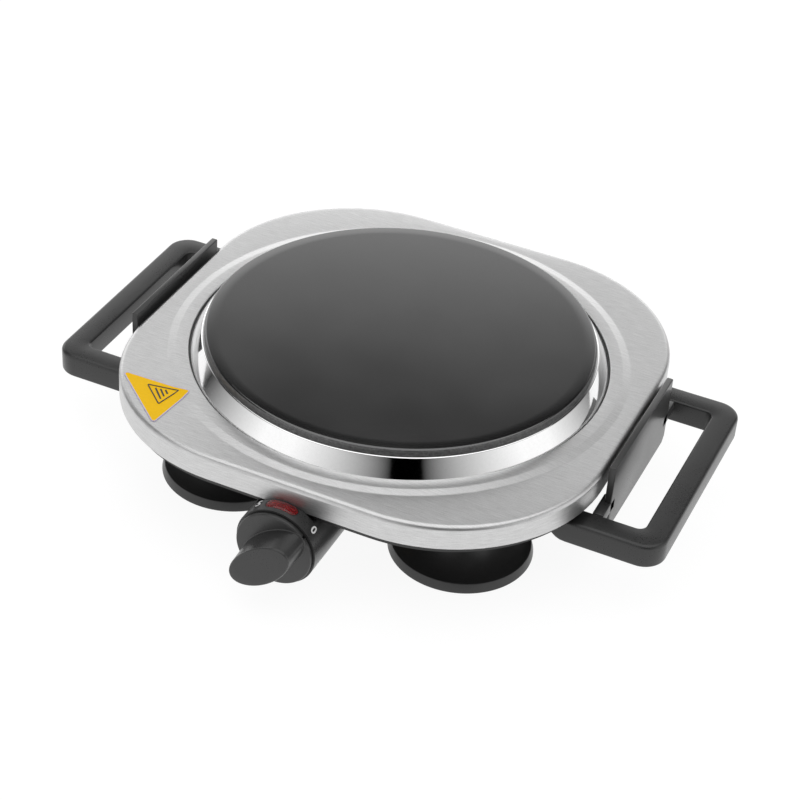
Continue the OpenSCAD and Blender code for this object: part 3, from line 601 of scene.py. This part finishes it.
def body_rings():
    """Rings up the skirt, over the top and collar, and back down on the inside."""
    lip = 0.25
    roll, top_rows, inner_rows, inner_roll = 10, 10, 6, 5
    rings = [rect_ring(0.0, SKIRT_Z + lip), rect_ring(0.0, (SKIRT_Z + BODY_TOP) / 2)]
    for k in range(roll + 1):
        a = math.radians(90 * k / roll)
        rings.append(rect_ring(EDGE_R * (1 - math.cos(a)), BODY_TOP - CROWN - EDGE_R * (1 - math.sin(a))))
    edge = rings[-1]
    collar = [circle_ring(r, z) for r, z in collar_profile()]
    for k in range(1, top_rows):
        t = k / top_rows
        sink = CROWN * ((1 - t) ** 2 - (1 - t))
        rings.append([(x, y, z - sink) for x, y, z in between(edge, collar[0], t)])
    rings += collar
    inner = rect_ring(EDGE_R, UNDER)
    rings += [between(collar[-1], inner, k / inner_rows) for k in range(1, inner_rows)]
    inner_r = EDGE_R - SHEET
    for k in range(inner_roll + 1):
        a = math.radians(90 * (1 - k / inner_roll))
        rings.append(rect_ring(EDGE_R - inner_r * math.cos(a), BODY_TOP - EDGE_R + inner_r * math.sin(a)))
    rings.append(rect_ring(SHEET, SKIRT_Z + lip))
    rings.append(rect_ring(SHEET - lip, SKIRT_Z))
    rings.append(rect_ring(lip, SKIRT_Z))
    return rings


def lay_grain(bm):
    """UVs in metres: plan view on the top, unrolled round the skirt on the side."""
    flat_enough = 0.72
    cols = len(BASE_OUTLINE)
    lengths = [0.0]
    for i in range(cols):
        lengths.append(lengths[-1] + math.dist(BASE_OUTLINE[i], BASE_OUTLINE[(i + 1) % cols]))
    bm.verts.index_update()
    layer = bm.loops.layers.uv.new("UVMap")
    for face in bm.faces:
        face.normal_update()
        flat = abs(face.normal.z) > flat_enough
        wraps = {v.index % cols for v in face.verts} == {0, cols - 1}
        for loop in face.loops:
            co = loop.vert.co
            j = loop.vert.index % cols
            s = lengths[cols] if wraps and j == 0 else lengths[j]
            loop[layer].uv = (co.x, co.y) if flat else (s * MM, co.z)


def make_body():
    shape = Shape()
    shape.loft(body_rings(), loop=True)
    lay_grain(shape.bm)
    piece = shape.finish("body_pressing", "body", "brushed_body", sharp=38)
    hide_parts("top_housing")


# ---------- sticker ----------

# The CAD triangle points towards the plate, so its middle is off its box's middle.
STICKER_X = (STICKER_LO.x + STICKER_HI.x) / 2 + 3.7
STICKER_Y = (STICKER_LO.y + STICKER_HI.y) / 2 + 3.7
STICKER_TIPS = [(3.3, 13.5), (-18.3, -9.1), (19.4, -6.3)]
SIGN_TIPS = [(1.2, 9.8), (-6.9, -1.7), (8.0, -0.9)]


def on_body(x, y, lift):
    """Height of the body's top at a place, over the collar's slope as well."""
    r = math.hypot(x, y)
    if r < COLLAR_STEP:
        rise = STEP_H + (COLLAR_H - STEP_H) * (COLLAR_STEP - r) / (COLLAR_STEP - OPENING_R)
    else:
        foot = COLLAR_FOOT + 1
        t = max(0.0, min(1.0, (foot - r) / (foot - COLLAR_STEP)))
        rise = STEP_H * t * t * (3 - 2 * t)
    return BODY_TOP + rise + lift


def sticker_place(u, v):
    """From the sticker's own plane, its point along +v, to the body."""
    s = math.sqrt(0.5)
    return STICKER_X + (u + v) * s, STICKER_Y + (v - u) * s


def film_between(shape, inner, outer, low, high, rows=2):
    """Thin film between two outlines of the same count, laid over the body."""
    spots = [[sticker_place(*partway(p, q, k / rows)) for p, q in zip(outer, inner)]
             for k in range(rows + 1)]
    rings = [[(x, y, on_body(x, y, high)) for x, y in ring] for ring in spots]
    for ring in (spots[-1], spots[0]):
        rings.append([(x, y, on_body(x, y, low)) for x, y in ring])
    shape.loft(rings, loop=True)


def make_sticker():
    under, film_top, border_top = -0.1, 0.20, 0.21
    field = dense(triangle(STICKER_TIPS, 0.9), 10)
    outer = dense(triangle(STICKER_TIPS, 1.4), 10)
    shape = Shape()
    film_between(shape, shrunk(field, (0, 0), 0.02), field, under, film_top, rows=22)
    piece = shape.finish("sticker_field", "film", "warning_yellow", sharp=50)
    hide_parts("caution_sticker")
    shape = Shape()
    film_between(shape, field, outer, under, border_top)
    shape.finish("sticker_border", "film_edge", "warning_yellow", sharp=50)


def make_sign():
    """Generic printed sign: an outlined triangle round three plain bars."""
    ink_low, frame_top, bar_top = 0.1, 0.4, 0.3
    middle, bar_h = 0.7, 0.8
    shape = Shape()
    film_between(shape, dense(triangle(SIGN_TIPS, 0.05), 8), dense(triangle(SIGN_TIPS, 0.6), 8),
                 ink_low, frame_top)
    for k in range(3):
        low, half = 0.3 + 2.0 * k, 4.4 - 1.4 * k
        left, right, top = middle - half, middle + half, low + bar_h
        bar = dense([(left, low), (right, low), (right, top), (left, top)], 8)
        core = shrunk(bar, (middle, low + bar_h / 2), 0.05)
        film_between(shape, core, bar, ink_low, bar_top)
    shape.finish("sticker_sign", "ink", "warning_yellow", sharp=50)


# ---------- handles ----------

ARM_END = 104.0
HEEL_R = 8.0
BAR_W = 12.0


def arm_low(x):
    """Underside of an arm: a rounded heel under the body."""
    dx = max(ARM_END + HEEL_R - x, 0.0)
    return HANDLE_LO.z + HEEL_R - math.sqrt(max(HEEL_R * HEEL_R - dx * dx, 0.0))


def handle_stations():
    """Pairs of an outer and an inner point round the loop, from the front arm to the rear one."""
    reach = HANDLE_HI.x
    half = HANDLE_HI.y
    outer_r, inner_r = 11.0, 4.0
    pairs = []
    for past_end in (0, 0.3, 1.0, 2.2, 4.0, 6.0, 8.5, 16.0, 26.0):
        x = ARM_END + past_end
        pairs.append(((x, -half), (x, -half + BAR_W)))
    oc = (reach - outer_r, -half + outer_r)
    ic = (reach - BAR_W - inner_r, -half + BAR_W + inner_r)
    for k in range(13):
        a = math.radians(-90 + 90 * k / 12)
        pairs.append(((oc[0] + outer_r * math.cos(a), oc[1] + outer_r * math.sin(a)),
                      (ic[0] + inner_r * math.cos(a), ic[1] + inner_r * math.sin(a))))
    for t in (0.25, 0.5):
        y = -half + outer_r + (2 * half - 2 * outer_r) * t
        pairs.append(((reach, y), (reach - BAR_W, y)))
    rear = [((o[0], -o[1]), (i[0], -i[1])) for o, i in pairs[:-1]]
    return pairs + rear[::-1]


def loop_rings():
    """The bar's rounded section at each station."""
    rings = []
    for outer, inner in handle_stations():
        floor = arm_low(outer[0])
        tall = BAR_TOP - floor
        wide = math.dist(outer, inner)
        soft = min(1.2, tall * 0.3)
        flat = rounded([(0, 0), (wide, 0), (wide, tall), (0, tall)],
                       [soft, soft, min(1.1, soft), min(1.9, soft * 1.6)], 5)
        rings.append([(*partway(outer, inner, u / wide), floor + v) for u, v in flat])
    return rings


def make_handle(side):
    """The loop, the crossbar that joins its arms under the body, and two screw bosses."""
    half = HANDLE_HI.y
    shape = Shape()
    shape.loft(loop_rings())
    shape.block((98.0, -half + 6.5, BAR_TOP - 4), (111.5, half - 6.5, BAR_TOP - 0.05), bevel=0.6)
    screw_r, boss_r = 1.8, 6
    boss_low, boss_top = BAR_TOP - 3.9, HANDLE_HI.z
    boss = rounded([(screw_r, boss_low), (screw_r, boss_top), (boss_r, boss_top), (boss_r, boss_low)],
                   [0, 0.2, 0.4, 0], 3)
    for y in (-35.0, 35.0):
        shape.lathe(boss, 40, centre=(105.0, y, 0))
    if side == "left":
        shape.mirror_x()
    piece = shape.finish(f"{side}_loop", "plastic", "black_plastic", sharp=30)
    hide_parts(f"{side}_handle")


# ---------- heat shields ----------

def make_shield(side):
    """Upright plate with a lug at each end, pinned into the handle's arms."""
    outer = SHIELD_HI.x
    inner = outer - 3.2
    low, top = SHIELD_LO.z, SHIELD_HI.z
    half = 40.0
    cut = 3.0
    plate = [(-half, low + cut), (-half + cut, low), (half - cut, low), (half, low + cut),
             (half, top), (-half, top)]
    shape = Shape()
    shape.prism(plate, inner, outer, lambda u, v, w: (w, u, v), bevel=0.55)
    lug_start, lug_end = 34.0, 49.9
    pin_start, pin_bevel, pin_end = 49.4, 53.4, 53.9
    pin_r, tip_r, axis_r = 2.0, 1.7, 0.001
    pin_at = ((inner + outer) / 2, 0, BAR_TOP - 3)
    for s in (-1, 1):
        near, far = sorted((s * lug_start, s * lug_end))
        shape.block((inner - 2.0, near, BAR_TOP - 6), (outer, far, BAR_TOP), bevel=0.5)
        pin = [(axis_r, s * pin_start), (pin_r, s * pin_start), (pin_r, s * pin_bevel),
               (tip_r, s * pin_end), (axis_r, s * pin_end)]
        shape.lathe(pin, 28, centre=pin_at, axis="Y")
    if side == "left":
        shape.mirror_x()
    piece = shape.finish(f"{side}_guard", "plastic", "black_plastic", sharp=30)
    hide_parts(f"{side}_shield")


# ---------- feet ----------

def make_foot(node):
    """Rubber cup: a stem that flares in a quarter circle to a wide rim, hollow below."""
    lo, hi = corners(node)
    centre = ((lo.x + hi.x) / 2, (lo.y + hi.y) / 2, 0)
    top = hi.z
    rim = (hi.x - lo.x) / 2
    rim_h = 5.0
    step = rim - 1.4
    stem = 16.0
    flare = step - stem
    screw_r, recess_r, recess_top, hollow_r = 1.75, 5.5, 7.2, 14.0
    crest = rounded([(rim - 0.4, 0), (rim, 0.5), (step + 0.15, rim_h), (step - 1.6, rim_h - 0.05)],
                    [0, 0.5, 0.5, 0], 5)
    curve = []
    for k in range(21):
        a = math.radians(-90 - 90 * k / 20)
        curve.append((step + flare * math.cos(a), rim_h + flare + flare * math.sin(a)))
    curve = [p for p in curve if p[0] < step - 3.0]
    inside = [(stem, top - 0.4), (stem - 0.4, top), (screw_r, top), (screw_r, top - 6),
              (recess_r, top - 6), (recess_r, recess_top), (hollow_r, recess_top),
              (rim - 4.4, 2.4), (rim - 3.6, 0)]
    shape = Shape()
    shape.lathe(crest + curve + inside, 128, centre=centre)
    piece = shape.finish(f"{node}_cup", "rubber", "black_rubber", sharp=34)
    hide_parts(node)


# ---------- knob ----------

DIAL_BACK = KNOB_HI.y
DIAL_FRONT = DIAL_BACK - 2.3
GRIP_FACE = KNOB_LO.y
POINTER = math.pi / 2 - OFF_ANGLE


def dial_rings():
    """Rings of the dial, with a notch in its edge at the pointer."""
    notch_deep, bore_r = 1.6, 7.2
    notch_half = math.asin(0.8 / DIAL_R)

    def off_pointer(a):
        return abs((a - POINTER + math.pi) % TAU - math.pi)

    evenly = [TAU * k / 120 for k in range(120)]
    notch = [POINTER + notch_half * f for f in (-1.25, -1.0, -0.98, 0.0, 0.98, 1.0, 1.25)]
    around = sorted(set([a for a in evenly if off_pointer(a) > notch_half * 1.5]
                        + [a % TAU for a in notch]))
    profile = rounded([(bore_r, DIAL_FRONT + 0.3), (DIAL_R, DIAL_FRONT), (DIAL_R, DIAL_BACK),
                       (bore_r, DIAL_BACK)], [0, 0.85, 0.3, 0.2], 5)
    rings = []
    for r, y in profile:
        ring = []
        for a in around:
            notched = off_pointer(a) <= notch_half * 0.99
            rr = min(r, DIAL_R - notch_deep) if notched else r
            ring.append((rr * math.cos(a), y, KNOB_Z + rr * math.sin(a)))
        rings.append(ring)
    return rings


def grip_rings():
    """Rings of the oval grip, from its recess for the bush, out to its rounded front face."""
    half_long, half_wide = 18.5, 9.5
    taper = 35.0 / 37.0
    edge_r = 0.75
    recess_r, recess_deep, sunk = 6.9, 1.4, 0.3
    base_swell = 1.03
    back = DIAL_FRONT + sunk

    def tilted(pts, y):
        return [(u * math.cos(POINTER) - v * math.sin(POINTER), y,
                 KNOB_Z + u * math.sin(POINTER) + v * math.cos(POINTER)) for u, v in pts]

    levels = [(back, base_swell, 0), (DIAL_FRONT - 0.05, base_swell, 0), (DIAL_FRONT - 0.25, 1.0, 0)]
    for k in range(1, 9):
        t = k / 9
        levels.append((DIAL_FRONT + (GRIP_FACE - DIAL_FRONT) * t, 1 - (1 - taper) * t, 0))
    levels.append((GRIP_FACE + edge_r, taper * 1.006, 0))
    for k in range(1, 6):
        a = math.radians(90 * k / 5)
        levels.append((GRIP_FACE + edge_r * (1 - math.sin(a)), taper * 1.004, edge_r * (1 - math.cos(a))))
    rings = [tilted(oval(recess_r, recess_r), y) for y in (DIAL_FRONT - recess_deep, back)]
    for y, scale, inset in levels:
        rings.append(tilted(oval(half_long * scale - inset, half_wide * scale - inset), y))
    for share in (0.7, 0.35):
        rings.append(tilted(oval((half_long * taper - edge_r) * share,
                                 (half_wide * taper - edge_r) * share), GRIP_FACE))
    return rings


def make_knob():
    shape = Shape()
    shape.loft(dial_rings(), loop=True)
    shape.loft(grip_rings())
    piece = shape.finish("knob_moulding", "knob", "black_plastic", body="knob", sharp=34)
    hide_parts("knob")


# ---------- pilot lens ----------

LENS_Y = (LENS_LO.y + LENS_HI.y) / 2
LENS_FLAT = dense(pill(POD_R * math.asin((LENS_HI.x - 0.02) / POD_R), (LENS_HI.y - LENS_LO.y) / 2), 3)


def on_pod(u, v, r):
    """From a flat patch on the housing's top to its round side at radius r."""
    a = u / POD_R
    return r * math.sin(a), LENS_Y + v, KNOB_Z + r * math.cos(a)


def lens_ring(long_scale, wide_scale, lift):
    return [on_pod(u * long_scale, v * wide_scale, POD_R + lift) for u, v in LENS_FLAT]


def make_lens():
    """A crowned red cap in a dark rim, over a darker tray."""
    cap = [(1.0, -1.7), (1.0, -0.15), (0.985, 0.02), (0.95, 0.12), (0.85, 0.2), (0.6, 0.26), (0.3, 0.28)]
    shape = Shape()
    shape.loft([lens_ring(scale, scale, lift) for scale, lift in cap])
    piece = shape.finish("lens_cap", "lens", "red_lens")
    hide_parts("pilot_lens")
    inner, outer, rim_low = (1.012, 1.03), (1.06, 1.2), -0.9
    shape = Shape()
    shape.loft([lens_ring(*inner, rim_low), lens_ring(*inner, 0.03),
                lens_ring(*outer, 0.04), lens_ring(*outer, rim_low)], loop=True)
    shape.finish("lens_rim", "rim_and_gap_shade", "black_plastic")
    floor = 0.97
    shape = Shape()
    shape.loft([lens_ring(floor, floor, -2.6), lens_ring(floor, floor, -1.9),
                lens_ring(floor / 2, floor / 2, -1.9)])
    shape.finish("lens_floor", "tray", "red_lens")


def make_lens_ribs():
    """Pale ribs under the cap: two along its sides, two across and a short middle one."""
    low, high = POD_R - 1.95, POD_R - 1.72
    shape = Shape()

    def rib(u0, u1, v0, v1):
        count = max(2, int(abs(u1 - u0) / 0.8) + 1)
        rings = []
        for k in range(count + 1):
            u = u0 + (u1 - u0) * k / count
            rings.append([on_pod(u, v0, low), on_pod(u, v1, low), on_pod(u, v1, high), on_pod(u, v0, high)])
        shape.loft(rings)

    rib(-6.4, 6.2, 1.35, 1.6)
    rib(-6.4, 6.2, -1.6, -1.35)
    rib(-3.0, -2.75, -1.3, 1.3)
    rib(1.6, 1.85, -1.3, 1.3)
    rib(1.9, 6.0, -0.12, 0.12)
    shape.finish("lens_ribs", "tray_rib", "red_lens")


# ---------- dial numbers ----------

def flat_digit(text, size, weight):
    """Mesh of a digit in the plane, in metres, cut fine enough to bend."""
    curve = bpy.data.curves.new(f"digit_{text}_flat", "FONT")
    curve.body = text
    curve.size = size * MM
    curve.offset = weight * MM
    curve.align_x = "CENTER"
    curve.align_y = "CENTER"
    curve.resolution_u = 6
    flat = bpy.data.objects.new(f"digit_{text}_flat", curve)
    bpy.context.scene.collection.objects.link(flat)
    bpy.context.view_layer.update()
    evaluated = flat.evaluated_get(bpy.context.evaluated_depsgraph_get())
    mesh = bpy.data.meshes.new_from_object(evaluated)
    bpy.data.objects.remove(flat)
    shape = Shape()
    shape.bm.from_mesh(mesh)
    bpy.data.meshes.remove(mesh)
    bmesh.ops.remove_doubles(shape.bm, verts=shape.bm.verts, dist=1e-6)
    bmesh.ops.triangulate(shape.bm, faces=shape.bm.faces)
    for _ in range(2):
        long_edges = [e for e in shape.bm.edges if e.calc_length() > 0.6 * MM]
        if long_edges:
            bmesh.ops.subdivide_edges(shape.bm, edges=long_edges, cuts=1)
            bmesh.ops.triangulate(shape.bm, faces=shape.bm.faces)
    return shape


def make_mark(text, angle, y):
    """A printed dial number, bent round the housing."""
    raise_by, sink_by = 0.05, 0.2
    shape = flat_digit(text, size=5.8, weight=0.13)
    extruded = bmesh.ops.extrude_face_region(shape.bm, geom=list(shape.bm.faces))
    raised = {v for v in extruded["geom"] if isinstance(v, bmesh.types.BMVert)}
    for v in shape.bm.verts:
        r = (POD_R + (raise_by if v in raised else -sink_by)) * MM
        turn = angle + v.co.x / (POD_R * MM)
        v.co = Vector((r * math.sin(turn), y * MM + v.co.y, KNOB_Z * MM + r * math.cos(turn)))
    shape.finish(f"dial_mark_{text}", "white", "black_plastic", sharp=50)


def make_marks():
    """Numbers 0 to 5, the first just past the pointer's off position as in the photo."""
    first, pitch = 3.5, 54
    for k in range(6):
        make_mark(str(k), OFF_ANGLE + math.radians(first + pitch * k), y=-122.0)


# ---------- everything ----------

make_plate()
make_ring()
make_ring_seal()
make_body()
make_sticker()
make_sign()
for side in ("left", "right"):
    make_handle(side)
    make_shield(side)
for node in ("foot_front_left", "foot_front_right", "foot_rear_left", "foot_rear_right"):
    make_foot(node)
make_knob()
make_lens()
make_lens_ribs()
make_marks()


# ---------- floor, light and camera ----------

# The camera's place, solved from the photo: azimuth, height and roll, and its distance.
AZ, EL, ROLL = math.radians(22.42), math.radians(36.17), math.radians(4.24)
AIM = Vector((23.16, -51.58, 69.0)) * MM
DISTANCE = 0.95255
FOCAL = 93.864
SENSOR = 36
BACK = Vector((math.sin(AZ) * math.cos(EL), -math.cos(AZ) * math.cos(EL), math.sin(EL)))
RIGHT = Vector((math.cos(AZ), math.sin(AZ), 0))
UP = BACK.cross(RIGHT)


def make_floor():
    """Bright paper just under the feet, which glows so that it stays nearly white."""
    half, z = 6.0, -0.0002
    mesh = bpy.data.meshes.new("floor")
    mesh.from_pydata([(-half, -half, z), (half, -half, z), (half, half, z), (-half, half, z)],
                     [], [(0, 1, 2, 3)])
    floor = bpy.data.objects.new("floor", mesh)
    bpy.context.scene.collection.objects.link(floor)
    paper = Paint("floor_paper")
    paper.set(Base_Color=grey(0.14), Roughness=0.9, Specular_IOR_Level=0.1,
              Emission_Color=grey(1), Emission_Strength=0.92)
    mesh.materials.append(paper.mat)


def make_world():
    """Studio: soft panels at both sides with a dark gap near the camera, a bright low backdrop."""
    world = bpy.data.worlds.new("studio")
    bpy.context.scene.world = world
    world.use_nodes = True
    n = Nodes(world.node_tree)
    where = n.new("ShaderNodeTexCoord").outputs["Generated"]
    z = n.new("ShaderNodeSeparateXYZ", {"Vector": where}).outputs["Z"]

    def share_along(direction):
        node = n.new("ShaderNodeVectorMath", {0: where, 1: direction}, operation="DOT_PRODUCT")
        return node.outputs["Value"]

    gap = AZ + math.radians(8)
    front = share_along((math.sin(gap), -math.cos(gap), 0))
    side = share_along((math.cos(gap), math.sin(gap), 0))
    turn = n.math("ABSOLUTE", n.math("ARCTAN2", side, front))
    rise = n.math("POWER", n.spread(turn, 0.0, 1.0, math.radians(8), math.radians(62)), 0.8)
    fade = n.spread(turn, 1.08, 0.02, math.radians(78), math.radians(123))
    dim_above = n.spread(z, 1.0, 0.12, 0.5, 0.8)
    panels = n.math("MULTIPLY", n.math("MULTIPLY", rise, fade), dim_above)
    fall = n.math("POWER", n.spread(z, 1.0, 0.0, 0.51, 0.64), 2.4)
    backdrop = n.math("ADD", n.math("MULTIPLY", fall, 1.6), 0.04)
    behind = n.spread(turn, 0.0, 1.0, math.radians(122), math.radians(150))
    background = world.node_tree.nodes["Background"]
    n.put(grey(1), background.inputs["Color"])
    n.put(n.mix_value(behind, panels, backdrop), background.inputs["Strength"])


def make_light():
    """One wide soft box straight overhead."""
    light = bpy.data.lights.new("overhead", "AREA")
    light.shape = "SQUARE"
    light.size = 2.4
    light.energy = 24
    lamp = bpy.data.objects.new("overhead", light)
    bpy.context.scene.collection.objects.link(lamp)
    lamp.location = (0, 0, 1.7)


def make_camera():
    cam = bpy.data.cameras.new("camera")
    cam.lens = FOCAL
    cam.sensor_width = SENSOR
    cam.clip_start = 0.01
    camera = bpy.data.objects.new("camera", cam)
    bpy.context.scene.collection.objects.link(camera)
    cam_x = RIGHT * math.cos(ROLL) + UP * math.sin(ROLL)
    cam_y = -RIGHT * math.sin(ROLL) + UP * math.cos(ROLL)
    turn = Matrix((cam_x, cam_y, BACK)).transposed().to_4x4()
    camera.matrix_world = Matrix.Translation(AIM + BACK * DISTANCE) @ turn
    bpy.context.scene.camera = camera


make_floor()
make_world()
make_light()
make_camera()
bpy.context.scene.view_settings.view_transform = "Standard"
